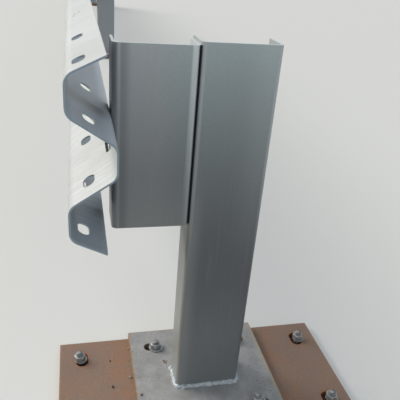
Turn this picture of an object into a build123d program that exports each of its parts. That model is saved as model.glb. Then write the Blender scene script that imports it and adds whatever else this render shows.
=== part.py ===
from build123d import *
import os
from math import cos, hypot, radians, sin, tan

os.makedirs("parts", exist_ok=True)

# Axes: +Y runs along the rail, away from its free near end, +X points from the traffic side
# to the field side, and +Z is up. The origin is the centre of the first anchor plate's underside.

# Bays: posts at one pitch, with a rail panel to each bay
BAYS = 2
BAY = 4000.0

# W-beam rail, cold rolled from one strip
RAIL_HEIGHT = 312.0
RAIL_DEPTH = 75.0
RAIL_SHEET = 3.0
RAIL_BEND = 20.0
VALLEY_FLAT = 50.0
LIP_SETBACK = 16.0
INNER_SLOPE = 33.5
OUTER_SLOPE = 26.5
RAIL_RISE = 4.0

# Rail ends: how far the first panel stands out past the post, and how two panels lap
RAIL_OVERHANG = 190.0
RAIL_LAP = 290.0
LAP_CLEARANCE = 0.3
JOGGLE = 60.0

# Slots near each rail end: splice slots on the four slopes, and a narrow one low in the valley
SPLICE_INSET = 53.5
SPLICE_SLOT_LENGTH = 36.0
SPLICE_SLOT_WIDTH = 21.0
SPLICE_INNER_HEIGHT = 52.0
SPLICE_OUTER_HEIGHT = 135.3
VALLEY_SLOT_LENGTH = 52.0
VALLEY_SLOT_WIDTH = 9.0
VALLEY_SLOT_DROP = 24.5

# Cold-formed channel of the posts and of the spacers between post and rail
CHANNEL_WIDTH = 148.0
CHANNEL_DEPTH = 70.0
CHANNEL_WALL = 5.0
CHANNEL_BEND = 11.0
POST_HEIGHT = 780.0
SPACER_HEIGHT = 342.0
SPACER_DROP = 6.0

# Base plate, welded to the post, and the wider anchor plate below it
BASE_SIDE = 330.0
BASE_THICKNESS = 20.0
BASE_SLOT_LENGTH = 46.0
BASE_SLOT_WIDTH = 25.0
BASE_SLOT_PITCH = (216.0, 212.0)
BASE_BOLT_PITCH = (206.0, 204.0)
ANCHOR_WIDTH = 676.0
ANCHOR_DEPTH = 330.0
ANCHOR_THICKNESS = 16.0
ANCHOR_SLOT_LENGTH = 46.0
ANCHOR_SLOT_WIDTH = 29.0
ANCHOR_SLOT_INSET = 53.5
ANCHOR_SLOT_PITCH = 211.0
ANCHOR_BOLT_SHIFT = 5.5
WELD_LEG = 8.0

# Foundation bolts: studs with a hexagon nut on a loose washer
STUD = 16.0
STUD_NUT_FLATS = 24.0
STUD_NUT_HEIGHT = 13.0
STUD_POINT = 1.4
BASE_STUD_PROUD = 4.0
ANCHOR_STUD_PROUD = 8.0
WASHER_THICKNESS = 3.0
WASHER_SHIFT = 2.5
BASE_WASHER = 37.0
ANCHOR_WASHER = 30.0

# Frame bolts: through the rail, its laps and the spacer
BOLT = 16.0
BOLT_HOLE = 18.0
BOLT_HEAD_FLATS = 24.0
BOLT_HEAD_HEIGHT = 10.0
BOLT_NUT_HEIGHT = 13.0
BOLT_PROUD = 5.0
BUTTON_HEAD = 32.0
BUTTON_HEIGHT = 9.0
SPACER_BOLT_PITCH = 200.0
OUTER_BOLT_SHIFT = 2.2

# Share of a nut's height that the turned-off corners take
NUT_CORNER_SHARE = 0.1

# Running clearance that lets one piece lie beside another
SEAT = 0.3

# Heights and places that follow from the sizes above
anchor_top = ANCHOR_THICKNESS
base_top = anchor_top + BASE_THICKNESS
post_top = base_top + POST_HEIGHT
spacer_top = post_top - SPACER_DROP
spacer_middle = spacer_top - SPACER_HEIGHT / 2
rail_middle = post_top + RAIL_RISE - RAIL_HEIGHT / 2
post_left = -CHANNEL_WIDTH / 2
spacer_left = post_left - CHANNEL_WIDTH
panel_length = BAY + RAIL_LAP
lapped_sheets = 2 * RAIL_SHEET + LAP_CLEARANCE
anchor_slot_pitch = ANCHOR_WIDTH - 2 * ANCHOR_SLOT_INSET, ANCHOR_SLOT_PITCH
anchor_bolt_pitch = anchor_slot_pitch[0] + 2 * ANCHOR_BOLT_SHIFT, ANCHOR_SLOT_PITCH

# A standing solid is centred on its own axis, with its foot at Z = 0
STANDING = (Align.CENTER, Align.CENTER, Align.MIN)


def post_place(number):
    """Distance along the rail of a post's middle, the first post being number 0."""
    return number * BAY


def panel_start(number):
    """Distance along the rail of a panel's near end."""
    return post_place(number) - RAIL_OVERHANG


def unit(start, end):
    """Unit direction from one point of a section to another."""
    length = hypot(end[0] - start[0], end[1] - start[1])
    return (end[0] - start[0]) / length, (end[1] - start[1]) / length


def shifted(corners, radius, distance):
    """Corners of a bent line moved to its left, each with the bend radius it has there."""
    points, radii = [], []
    last = len(corners) - 1
    for i, (x, y) in enumerate(corners):
        before = unit(corners[max(i - 1, 0)], corners[max(i, 1)])
        after = unit(corners[min(i, last - 1)], corners[min(i + 1, last)])
        share = distance / (1 + before[0] * after[0] + before[1] * after[1])
        points.append((x - share * (before[1] + after[1]), y + share * (before[0] + after[0])))
        turns_left = before[0] * after[1] > before[1] * after[0]
        bend = radius - distance if turns_left else radius + distance
        radii.append(bend if 0 < i < last else 0.0)
    return points, radii


def sheet_section(corners, radius, thickness, lift=0.0):
    """Section of a bent sheet whose right-hand face lies the given lift to the left of the corners."""
    near, near_radii = shifted(corners, radius, lift)
    far, far_radii = shifted(corners, radius, lift + thickness)
    outline = FilletPolyline(*near, *far[::-1], radius=near_radii + far_radii[::-1], close=True)
    return make_face(outline)


def rail_corners():
    """Back face of the W-beam in depth and height, from the bottom lip to the top lip."""
    crest = RAIL_DEPTH - RAIL_SHEET
    valley = VALLEY_FLAT / 2
    crest_low = valley + crest * tan(radians(INNER_SLOPE))
    lip = RAIL_HEIGHT / 2 - RAIL_SHEET * cos(radians(OUTER_SLOPE))
    crest_high = lip - (crest - LIP_SETBACK) * tan(radians(OUTER_SLOPE))
    upper = [(0, valley), (-crest, crest_low), (-crest, crest_high), (-LIP_SETBACK, lip)]
    return [(x, -z) for x, z in upper[::-1]] + upper


def rail_section(distance, lift=0.0):
    """The W-beam's section across the rail at a distance along it, its valley against the spacer."""
    section = sheet_section(rail_corners(), RAIL_BEND, RAIL_SHEET, lift)
    plane = Plane(origin=(spacer_left, distance, rail_middle), x_dir=(1, 0, 0), z_dir=(0, -1, 0))
    return plane * section


def slope_place(height, low, high):
    """Depth of the back face at a height on the slope between two corners, and its outward direction."""
    share = (height - low[1]) / (high[1] - low[1])
    along = unit(low, high)
    return low[0] + share * (high[0] - low[0]), (-along[1], along[0])


def splice_planes(distance, shift=0.0):
    """Planes on the four slopes at a distance along the rail, each facing out of the traffic side.
    On the two outer slopes they lie the given shift nearer to the lip than the slots' middles."""
    valley, crest_low, crest_high, lip = rail_corners()[4:]
    inner = SPLICE_INNER_HEIGHT, valley, crest_low
    outer = SPLICE_OUTER_HEIGHT + shift * sin(radians(OUTER_SLOPE)), crest_high, lip
    for height, low, high in (inner, outer):
        depth, outward = slope_place(height, low, high)
        for side in (1, -1):
            origin = (spacer_left + depth, distance, rail_middle + side * height)
            yield Plane(origin=origin, x_dir=(0, 1, 0), z_dir=(outward[0], 0, side * outward[1]))


def lap_middle(place):
    """Distance along the rail of the middle of the lap that a post place carries."""
    return place - RAIL_OVERHANG + RAIL_LAP / 2


def splice_places(place):
    """Distances of the two columns of splice slots of the lap at a post place."""
    half = RAIL_LAP / 2 - SPLICE_INSET
    return lap_middle(place) - half, lap_middle(place) + half


def valley_plane(distance, height=0.0):
    """Plane on the valley's back face, facing out of the traffic side."""
    return Plane(origin=(spacer_left, distance, rail_middle + height), x_dir=(0, 1, 0), z_dir=(-1, 0, 0))


def rail_cutters(place):
    """Cutters for one rail end: eight splice slots, the valley slot and the hole of the rail bolt."""
    reach = RAIL_BEND
    splice = SlotOverall(SPLICE_SLOT_LENGTH, SPLICE_SLOT_WIDTH)
    for distance in splice_places(place):
        for plane in splice_planes(distance):
            yield extrude(plane * splice, amount=reach, both=True)
    low = valley_plane(lap_middle(place), -VALLEY_SLOT_DROP)
    yield extrude(low * SlotOverall(VALLEY_SLOT_LENGTH, VALLEY_SLOT_WIDTH), amount=reach, both=True)
    yield extrude(valley_plane(place) * Circle(BOLT_HOLE / 2), amount=reach, both=True)


def rail_panel(number):
    """One W-beam panel. Where another follows, its far end is joggled out to lie over that panel."""
    start = panel_start(number)
    end = start + panel_length
    if number == BAYS - 1:
        body = extrude(rail_section(start), amount=panel_length, dir=(0, 1, 0))
    else:
        over = RAIL_SHEET + LAP_CLEARANCE
        lap_start = end - RAIL_LAP - RAIL_SHEET
        straight = lap_start - JOGGLE - start
        body = extrude(rail_section(start), amount=straight, dir=(0, 1, 0))
        body += loft([rail_section(lap_start - JOGGLE), rail_section(lap_start, over)], ruled=True)
        body += extrude(rail_section(lap_start, over), amount=end - lap_start, dir=(0, 1, 0))
    for place in (post_place(number), post_place(number + 1)):
        for cutter in rail_cutters(place):
            body -= cutter
    return body


def channel_corners(left):
    """Outer corners of a channel's section, its web towards -Y and its flanges pointing along +Y."""
    right = left + CHANNEL_WIDTH
    web, tips = -CHANNEL_DEPTH / 2, CHANNEL_DEPTH / 2
    return [(left, tips), (left, web), (right, web), (right, tips)]


def channel(left, height):
    """Upright channel standing on Z = 0."""
    section = sheet_section(channel_corners(left), CHANNEL_BEND, CHANNEL_WALL)
    return extrude(section, amount=height)


def wall_bore(x, z):
    """Cutter along X for a bolt hole in the channel walls beside x, at a height on a post's middle line."""
    along_x = Pos(x, 0, z) * Rot(0, 90, 0)
    return along_x * Cylinder(BOLT_HOLE / 2, 4 * CHANNEL_WALL)


def spacer_bolt_heights():
    return [spacer_middle - SPACER_BOLT_PITCH / 2, spacer_middle + SPACER_BOLT_PITCH / 2]


def post():
    body = Pos(0, 0, base_top) * channel(post_left, POST_HEIGHT)
    for z in spacer_bolt_heights():
        body -= wall_bore(post_left, z)
    return body


def spacer():
    body = Pos(0, 0, spacer_top - SPACER_HEIGHT) * channel(spacer_left, SPACER_HEIGHT)
    for z in spacer_bolt_heights():
        body -= wall_bore(post_left, z)
    return body - wall_bore(spacer_left, rail_middle)


def post_weld():
    """Fillet weld round the outer face of the channel's foot."""
    corners = channel_corners(post_left)
    path = FilletPolyline(*corners, radius=[CHANNEL_BEND, CHANNEL_BEND])
    foot = Plane(origin=(*corners[0], 0), x_dir=(-1, 0, 0), z_dir=(0, 1, 0))
    bead = foot * make_face(Polyline((0, 0), (WELD_LEG, 0), (0, WELD_LEG), close=True))
    return Pos(0, 0, base_top) * sweep(bead, path=path)


def corner_places(pitch):
    """Places of the four corners of a rectangle round a post, from its two pitches."""
    return [(x * pitch[0] / 2, y * pitch[1] / 2) for x in (-1, 1) for y in (-1, 1)]


def base_plate():
    body = Pos(0, 0, anchor_top) * Box(BASE_SIDE, BASE_SIDE, BASE_THICKNESS, align=STANDING)
    slot = extrude(SlotOverall(BASE_SLOT_LENGTH, BASE_SLOT_WIDTH), amount=base_top + SEAT)
    for x, y in corner_places(BASE_SLOT_PITCH):
        body -= Pos(x, y, 0) * slot
    return body


def anchor_plate():
    """Wide plate with slots along the rail for its own studs, and close holes for the base plate's."""
    body = Box(ANCHOR_WIDTH, ANCHOR_DEPTH, ANCHOR_THICKNESS, align=STANDING)
    slot = extrude(SlotOverall(ANCHOR_SLOT_LENGTH, ANCHOR_SLOT_WIDTH, rotation=90), amount=ANCHOR_THICKNESS)
    for x, y in corner_places(anchor_slot_pitch):
        body -= Pos(x, y, 0) * slot
    for x, y in corner_places(BASE_BOLT_PITCH):
        body -= Pos(x, y, 0) * Cylinder(STUD / 2, ANCHOR_THICKNESS, align=STANDING)
    return body


def nut(flats, height):
    """Hexagon nut blank, flats across Y, with its outer corners turned off at the top."""
    blank = extrude(RegularPolygon(flats / 2, 6, major_radius=False), amount=height)
    corner = flats / 2 / cos(radians(30))
    turned = Cylinder(corner, height, align=STANDING)
    rim = turned.edges().group_by(Axis.Z)[-1]
    return blank & chamfer(rim, length=height * NUT_CORNER_SHARE, length2=corner - flats / 2)


def stud_with_nut(plate_top, proud):
    """Stud from Z = 0 up through a nut that sits on a washer on the plate."""
    seat = plate_top + WASHER_THICKNESS
    body = Cylinder(STUD / 2, seat + STUD_NUT_HEIGHT + proud, align=STANDING)
    body = chamfer(body.edges().group_by(Axis.Z)[-1], STUD_POINT)
    return body + Pos(0, 0, seat) * nut(STUD_NUT_FLATS, STUD_NUT_HEIGHT)


def washer(plate_top, diameter):
    """Washer with a wide bore that has slid along X on its stud, so that it lies off centre."""
    ring = Circle(diameter / 2) - Circle(STUD / 2 + WASHER_SHIFT + SEAT)
    return Pos(WASHER_SHIFT, 0, plate_top) * extrude(ring, amount=WASHER_THICKNESS)


def base_bolts():
    bolt = stud_with_nut(base_top, BASE_STUD_PROUD)
    return [Pos(x, y, 0) * bolt for x, y in corner_places(BASE_BOLT_PITCH)]


def base_washers():
    ring = washer(base_top, BASE_WASHER)
    return [Pos(x, y, 0) * ring for x, y in corner_places(BASE_BOLT_PITCH)]


def anchor_bolts():
    """Foundation studs, each towards the outer side of its slot, with the nut's flats across X."""
    bolt = Rot(0, 0, 90) * stud_with_nut(anchor_top, ANCHOR_STUD_PROUD)
    return [Pos(x, y, 0) * bolt for x, y in corner_places(anchor_bolt_pitch)]


def anchor_washers():
    ring = washer(anchor_top, ANCHOR_WASHER)
    return [Pos(x, y, 0) * ring for x, y in corner_places(anchor_bolt_pitch)]


def hexagon_head():
    """Hexagon head below Z = 0, its corners turned off on the outer side."""
    return Rot(180, 0, 0) * nut(BOLT_HEAD_FLATS, BOLT_HEAD_HEIGHT)


def button_head():
    """Low domed head below Z = 0 that bears on the rail's traffic face."""
    half = BUTTON_HEAD / 2
    crown = (half**2 + BUTTON_HEIGHT**2) / (2 * BUTTON_HEIGHT)
    blank = Cylinder(half, BUTTON_HEIGHT, align=(Align.CENTER, Align.CENTER, Align.MAX))
    return blank & Pos(0, 0, crown - BUTTON_HEIGHT) * Sphere(crown)


def frame_bolt(grip, head):
    """Bolt along +Z with its head below Z = 0 and its nut beyond the grip."""
    shank = Cylinder(BOLT / 2, grip + BOLT_NUT_HEIGHT + BOLT_PROUD, align=STANDING)
    return head + shank + Pos(0, 0, grip) * nut(BOLT_HEAD_FLATS, BOLT_NUT_HEIGHT)


def head_lift(sheets):
    """How far the valley's rounded sides hold a button head off its flat."""
    bend = RAIL_BEND - sheets
    flat = VALLEY_FLAT / 2 - RAIL_BEND * tan(radians(90 - INNER_SLOPE) / 2)
    over = max(BUTTON_HEAD / 2 - flat, 0)
    return bend - (bend**2 - over**2) ** 0.5


def rail_bolt(number):
    """Bolt from the rail's valley through the spacer's flange, under both sheets where panels lap."""
    sheets = lapped_sheets if 0 < number < BAYS else RAIL_SHEET
    lifted = sheets + head_lift(sheets)
    place = Pos(spacer_left - lifted, 0, rail_middle) * Rot(0, 90, 0)
    return place * frame_bolt(lifted + CHANNEL_WALL, button_head())


def spacer_bolts():
    bolt = Rot(0, 90, 0) * frame_bolt(2 * CHANNEL_WALL, hexagon_head())
    return [Pos(post_left - CHANNEL_WALL, 0, z) * bolt for z in spacer_bolt_heights()]


def splice_bolts(number):
    """The eight button-head bolts of one lap, each square to its slope and clear of the bends."""
    bolt = Rot(180, 0, 0) * frame_bolt(lapped_sheets, button_head())
    bolts = []
    for distance in splice_places(post_place(number)):
        for plane in splice_planes(distance, OUTER_BOLT_SHIFT):
            bolts.append(plane.offset(lapped_sheets).location * bolt)
    return bolts


def save(name, shape, number=0):
    """Write one node, moved to its post's place along the rail."""
    pieces = shape if isinstance(shape, list) else [shape]
    solids = [Pos(0, post_place(number), 0) * solid for piece in pieces for solid in piece.solids()]
    whole = solids[0] if len(solids) == 1 else Compound(children=solids)
    export_step(whole, f"parts/{name}.step")


for number in range(BAYS + 1):
    label = number + 1
    save(f"anchor_plate_{label}", anchor_plate(), number)
    save(f"anchor_bolts_{label}", anchor_bolts(), number)
    save(f"anchor_washers_{label}", anchor_washers(), number)
    save(f"base_plate_{label}", base_plate(), number)
    save(f"base_bolts_{label}", base_bolts(), number)
    save(f"base_washers_{label}", base_washers(), number)
    save(f"post_{label}", post(), number)
    save(f"post_weld_{label}", post_weld(), number)
    save(f"spacer_{label}", spacer(), number)
    save(f"spacer_bolts_{label}", spacer_bolts(), number)
    save(f"rail_bolt_{label}", rail_bolt(number), number)

for number in range(BAYS):
    save(f"rail_panel_{number + 1}", rail_panel(number))

for number in range(1, BAYS):
    save(f"splice_bolts_{number}", splice_bolts(number))
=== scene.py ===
# %% [markdown]
# # A highway guardrail section, dressed for the studio
#
# The solids of this guardrail come from a CAD program as a fixed frame. Here they get what
# steel in the open air has: zinc with its crystals, dust and rain marks, rust on a bare plate,
# cut threads and the ripples of a weld. The frame is in metres: +Y runs along the rail, +X points
# from the traffic side to the field side and +Z is up, with Z = 0 under the anchor plates.

import bmesh
import bpy
import numpy as np
from mathutils import Matrix, Vector


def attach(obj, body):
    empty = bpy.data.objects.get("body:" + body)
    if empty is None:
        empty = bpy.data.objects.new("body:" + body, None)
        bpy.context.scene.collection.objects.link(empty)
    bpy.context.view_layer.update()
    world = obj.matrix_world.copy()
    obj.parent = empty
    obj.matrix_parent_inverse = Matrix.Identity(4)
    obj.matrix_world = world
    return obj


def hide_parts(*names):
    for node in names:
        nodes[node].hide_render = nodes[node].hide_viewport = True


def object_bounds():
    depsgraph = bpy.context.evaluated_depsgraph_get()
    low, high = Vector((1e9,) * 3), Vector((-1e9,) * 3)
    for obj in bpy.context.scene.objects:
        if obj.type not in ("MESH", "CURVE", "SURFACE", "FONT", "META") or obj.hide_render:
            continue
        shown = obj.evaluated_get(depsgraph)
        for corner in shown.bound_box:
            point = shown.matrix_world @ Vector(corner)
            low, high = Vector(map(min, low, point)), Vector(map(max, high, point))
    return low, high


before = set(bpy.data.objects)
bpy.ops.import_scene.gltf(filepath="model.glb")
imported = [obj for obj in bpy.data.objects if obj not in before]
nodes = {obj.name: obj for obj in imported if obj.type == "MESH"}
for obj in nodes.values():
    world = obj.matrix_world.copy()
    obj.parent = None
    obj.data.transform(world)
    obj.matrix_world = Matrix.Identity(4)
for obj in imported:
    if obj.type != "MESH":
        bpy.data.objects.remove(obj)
cad_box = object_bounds()
spans = [round(high - low, 3) for low, high in zip(*cad_box)]
print(len(nodes), "CAD nodes in a box of", spans, "m")

# %% [markdown]
# ## Sizes that the pieces share
#
# A piece that stands for a CAD solid has to sit where that solid sits. The few sizes that decide
# this are written once, in millimetres turned to metres, and the places of bolts and welds follow
# from them. Heights count from the floor, and places across and along the rail from the middle of
# the first post. LAPPED is two sheets of the rail and the gap of 0.3 mm between them.

# %% Sizes
MM = 0.001
BAY = 4000 * MM
POSTS = 3
ANCHOR_TOP, BASE_TOP, POST_TOP = 16 * MM, 36 * MM, 816 * MM
ANCHOR_HALF = (338 * MM, 165 * MM)
BASE_HALF = (165 * MM, 165 * MM)
CHANNEL_HALF = (74 * MM, 35 * MM)
CHANNEL_BEND = 11 * MM
CHANNEL_WALL = 5 * MM
SPACER_LEFT = -222 * MM
SPACER_BOTTOM, SPACER_TOP = 468 * MM, 810 * MM
RAIL_MIDDLE = 664 * MM
SHEET = 3 * MM
LAPPED = 2 * SHEET + 0.3 * MM
print("posts at", [number * BAY for number in range(POSTS)], "m along the rail")

# %% [markdown]
# ## The camera
#
# The photograph was taken from a little above the rail's end, looking down and along it. The
# camera's place, turn and lens were worked out from the straight edges in the photograph, with
# the guardrail's own sizes as the ruler. Three angles give its turn: the heading away from the
# rail's line, the dip below level and a slight roll.

# %% Camera
CAMERA_PLACE = (-0.2802, -0.8850, 0.9560)
HEADING, DIP, ROLL = np.radians([14.84, 26.22, 4.93])
FOCAL_PIXELS, PICTURE_PIXELS = 512.0, 400

lens = bpy.data.cameras.new("camera")
lens.sensor_width = 36.0
lens.lens = FOCAL_PIXELS / PICTURE_PIXELS * lens.sensor_width
camera = bpy.data.objects.new("camera", lens)
bpy.context.scene.collection.objects.link(camera)
heading = Matrix.Rotation(-HEADING, 4, "Z")
dip = Matrix.Rotation(np.pi / 2 - DIP, 4, "X")
roll = Matrix.Rotation(ROLL, 4, "Z")
camera.matrix_world = Matrix.Translation(CAMERA_PLACE) @ heading @ dip @ roll
bpy.context.scene.camera = camera
print("lens of", round(lens.lens, 1), "mm on a", lens.sensor_width, "mm sensor")

# %% [markdown]
# ## Colours and nodes
#
# Colours are picked as the eye sees them, in sRGB, but light adds up in linear numbers, so one
# function turns the one into the other. A second function adds a node to a material and wires
# it. Sockets are named or numbered: a Math node has 0 and 1, a colour Mix has its factor at 0
# and its colours at 6 and 7, and a Map Range has value, from and to at 0 to 4.


# %% One function for colours and one for nodes
def linear(hex_colour):
    """Linear RGBA of an sRGB hex colour: a straight foot below 0.04045, a power of 2.4 above it."""
    srgb = np.array([int(hex_colour[i : i + 2], 16) for i in (1, 3, 5)]) / 255
    rgb = np.where(srgb <= 0.04045, srgb / 12.92, ((srgb + 0.055) / 1.055) ** 2.4)
    return (*rgb.tolist(), 1.0)


def add(tree, kind, inputs, out=0, **settings):
    """Adds a node with its settings and gives back one of its outputs. Each input takes a value,
    a hex colour or another node's output."""
    node = tree.nodes.new("ShaderNode" + kind)
    for name, value in settings.items():
        setattr(node, name, value)
    for socket, value in inputs.items():
        if isinstance(value, bpy.types.NodeSocket):
            tree.links.new(value, node.inputs[socket])
        else:
            node.inputs[socket].default_value = linear(value) if isinstance(value, str) else value
    return node.outputs[out]


print("mid grey #808080 is", round(linear("#808080")[0], 3), "in linear light")

# %% [markdown]
# Weathered metal is built up in coats, as the weather does it. A mask says where a coat lies: soft
# blots of a real size, drawn long where water or wind drags them, or the region between limits of
# height or place. A coat turns the colour below it towards its own, so far as its mask and its
# strength say. At the end the shader gets the colour, how metallic and how rough the surface is,
# and the relief of its grit.
#
# Bare zinc is typically wholly metallic, with a roughness near 0.4. Old zinc wears a skin of oxide
# that scatters most of the light, so its metallic share comes down, further the paler the skin is.
# Rust, mortar and dust are not metallic, and are rough. Both numbers were then matched to the real
# piece. The IOR stays at its default of 1.5, as for any metal, and it suits dust and paint too.
#
# Grit and dust are finer than half a millimetre. A picture this size can't show that, so their
# grain is drawn some 2 mm across.

# %% Coats of weather
EASED = {"interpolation_type": "SMOOTHSTEP"}


def start(name):
    """A new material: its node tree and its Object coordinates."""
    material = bpy.data.materials.new(name)
    material.use_nodes = True
    tree = material.node_tree
    return material, tree, add(tree, "TexCoord", {}, out="Object")


def blots(
    tree, place, size, low, high, drawn=(1, 1, 1), turn=(0, 0, 0), shift=(0, 0, 0), detail=4.0
):
    """Mask of blots some millimetres across: the place is turned by degrees, divided by the size
    and by how long each axis is drawn, fed to noise, and eased from 0 at low to 1 at high."""
    rotated = add(tree, "Mapping", {"Vector": place, "Rotation": tuple(np.radians(turn))})
    scale = tuple(1 / (size * MM * long) for long in drawn)
    sized = add(tree, "Mapping", {"Vector": rotated, "Location": shift, "Scale": scale})
    cloudy = {"Scale": 1.0, "Detail": detail, "Roughness": 0.6}
    noise = add(tree, "TexNoise", {"Vector": sized, **cloudy})
    return add(tree, "MapRange", {0: noise, 1: low, 2: high}, **EASED)


def spot(tree, place, middle, ragged, smallest, largest):
    """Mask of one ragged spot: the distance from its middle is eased from 1 to 0 about a radius
    that the ragged mask moves between the smallest and the largest, in millimetres."""
    radius = add(tree, "MapRange", {0: ragged, 3: smallest * MM, 4: largest * MM})
    distance = add(tree, "VectorMath", {0: place, 1: middle}, out="Value", operation="DISTANCE")
    past = add(tree, "Math", {0: distance, 1: radius}, operation="SUBTRACT")
    return add(tree, "MapRange", {0: past, 1: 1.5 * MM, 2: -1.5 * MM}, **EASED)


def away(tree, value, middle):
    """How far a value is from a middle one, to either side."""
    difference = add(tree, "Math", {0: value, 1: middle}, operation="SUBTRACT")
    return add(tree, "Math", {0: difference}, operation="ABSOLUTE")


def overlap(tree, *limits, **settings):
    """Mask of the region where limits overlap: all of them multiplied. A limit is another mask, or
    a value with the number at which it begins and the number at which it is full."""
    masks = [
        add(tree, "MapRange", dict(enumerate(limit)), **settings)
        if isinstance(limit, tuple)
        else limit
        for limit in limits
    ]
    region = masks[0]
    for mask in masks[1:]:
        region = add(tree, "Math", {0: region, 1: mask}, operation="MULTIPLY")
    return region


def coats(tree, colour, *layers):
    """The colour under coats that each have a colour, a mask and a strength: where the mask is 1,
    the colour below is turned towards the coat's colour by its strength."""
    for over, mask, strength in layers:
        factor = add(tree, "Math", {0: mask, 1: strength}, operation="MULTIPLY")
        colour = add(tree, "Mix", {0: factor, 6: colour, 7: over}, out=2, data_type="RGBA")
    return colour


def surface(tree, colour, metallic, roughness, reliefs=()):
    """Gives the shader its colour, metallic share, roughness and bumps, each with a depth in mm."""
    shader = tree.nodes["Principled BSDF"]
    given = {"Base Color": colour, "Metallic": metallic, "Roughness": roughness}
    below = {}
    for height, depth in reliefs:
        relief = {"Height": height, "Strength": 1.0, "Distance": depth * MM, **below}
        below = {"Normal": add(tree, "Bump", relief)}
    for socket, value in {**given, **below}.items():
        if isinstance(value, bpy.types.NodeSocket):
            tree.links.new(value, shader.inputs[socket])
        else:
            shader.inputs[socket].default_value = value


print("coats ready")

# %% [markdown]
# ## Rail: hot-dip galvanised strip, weathered pale
#
# The rail is cold rolled from strip and dipped in molten zinc. Fresh zinc shows crystals, the
# spangle; air turns it to a dry, almost white grey, and rain runs straight down the slopes and
# leaves faint streaks some 5 mm wide. That is what the traffic side gives the eye: a pale, dry
# surface with hardly any shine. The back is painted a darker, bluish grey, as painted shade and a
# painted reflection of the sky, and the sheared ends are painted bluish, a painted reflection of
# the sky. The direction that a face points in tells front, back and ends apart. Three small brown
# scrapes lie near the end.
#
# Other coats on the back are painted light and shade, because a plain floor and sky give it
# little to mirror: a warmer, darker upper wave in painted shade, painted light in the valley, a
# brown painted shade beside the first spacer, painted light past that spacer and at the near end,
# and near black painted shade on the walls of the narrow slot in the valley. They are painted by
# place and stay there under other lamps. The photograph can't tell how much of them is dirt.


# %% Rail finish
VALLEY_SLOT = RAIL_MIDDLE - 24.5 * MM
SCRAPES = ((-0.2770, 0.345, 0.8013), (-0.2685, 0.352, 0.8055), (-0.2800, 0.322, 0.7998))


def galvanised_rail():
    material, tree, place = start("weathered_hot_dip_zinc_strip")
    facing = add(tree, "NewGeometry", {}, out="Normal")
    towards_x, towards_y = (add(tree, "SeparateXYZ", {0: facing}, out=axis) for axis in "XY")
    across, along, height = (add(tree, "SeparateXYZ", {0: place}, out=axis) for axis in "XYZ")
    crystals = add(tree, "TexVoronoi", {"Vector": place, "Scale": 1 / (9 * MM)}, out="Color")
    spangle = add(tree, "RGBToBW", {0: crystals})
    dull = blots(tree, place, 150, 0.35, 0.7)
    rain = {"drawn": (500, 1, 9), "detail": 3}
    fainter_above = {1: RAIL_MIDDLE + 16 * MM, 2: RAIL_MIDDLE + 76 * MM, 3: 1.0, 4: 0.4}
    washed = add(tree, "MapRange", {0: height, **fainter_above})
    dark_streaks = overlap(tree, blots(tree, place, 5, 0.42, 0.75, turn=(2, 0, 0), **rain), washed)
    pale_streaks = blots(tree, place, 8, 0.5, 0.72, turn=(6, 0, 0), shift=(0, 5, 8), **rain)
    pale_streaks = overlap(tree, pale_streaks, washed)
    grit = blots(tree, place, 1.8, 0.64, 0.8, detail=2)
    scuffs = blots(tree, place, 16, 0.72, 0.78, shift=(9, 2, 4), detail=6)
    front = coats(
        tree,
        "#CED1D2",
        ("#C3C5C5", dull, 1.0),
        ("#E6E8E7", pale_streaks, 0.6),
        ("#ABADAA", dark_streaks, 0.42),
        ("#DCDFDF", spangle, 0.2),
        ("#9C9486", scuffs, 0.55),
        *(("#6B5242", spot(tree, place, middle, grit, 4, 8), 0.75) for middle in SCRAPES),
        ("#8F908B", grit, 0.15),
    )

    # Painted light and shade on the back by place: a warmer, darker upper wave in painted shade,
    # painted light past the first spacer, at the near end and in the valley, and a brown painted
    # shade beside the first spacer
    upper = add(tree, "MapRange", {0: height, 1: RAIL_MIDDLE, 2: RAIL_MIDDLE + 30 * MM}, **EASED)
    painted_light_past_spacer = overlap(tree, (along, -42 * MM, -18 * MM), upper, **EASED)
    painted_light_near_end = overlap(tree, (along, -70 * MM, -110 * MM), upper, **EASED)
    beside_spacer = ((along, -95 * MM, -52 * MM), (along, -36 * MM, -46 * MM))
    shaded = overlap(tree, *beside_spacer, (across, -288 * MM, -238 * MM), **EASED)
    painted_light_in_valley = add(tree, "MapRange", {0: across, 1: -248 * MM, 2: -226 * MM}, **EASED)
    # The back is painted darker and bluer than the front: painted shade and a painted reflection of
    # the sky
    back = coats(
        tree,
        "#C2CAD0",
        ("#AEB4B8", dull, 1.0),
        ("#8D8780", dark_streaks, 0.4),
        ("#C0C7CC", spangle, 0.25),
        ("#ABA8A6", upper, 0.45),
        ("#D3E4F2", painted_light_past_spacer, 0.2),
        ("#DDE6EE", painted_light_near_end, 0.3),
        ("#4E4A46", shaded, 0.5),
        ("#E4E9EE", painted_light_in_valley, 0.7),
    )

    is_back = add(tree, "MapRange", {0: towards_x, 1: 0.05, 2: 0.25}, **EASED)
    # The sheared ends are painted bluish: a painted reflection of the sky
    is_end = add(tree, "MapRange", {0: towards_y, 1: -0.6, 2: -0.9}, **EASED)
    # Near black painted shade on the walls of the narrow slot in the valley
    slot_wall_shade = overlap(
        tree,
        (away(tree, height, VALLEY_SLOT), 7 * MM, 6 * MM),
        (away(tree, towards_x, 0.0), 0.5, 0.3),
        (along, -186 * MM, -184 * MM),
    )
    colour = coats(
        tree,
        front,
        (back, is_back, 1.0),
        ("#9BB0BF", is_end, 0.8),
        ("#15171A", slot_wall_shade, 0.95),
    )
    metallic = add(tree, "MapRange", {0: is_back, 3: 0.1, 4: 0.4})
    surface(tree, colour, metallic, 0.48, [(spangle, 0.03), (grit, 0.05)])
    return material


rail_zinc = galvanised_rail()
print("made", rail_zinc.name)
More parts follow.
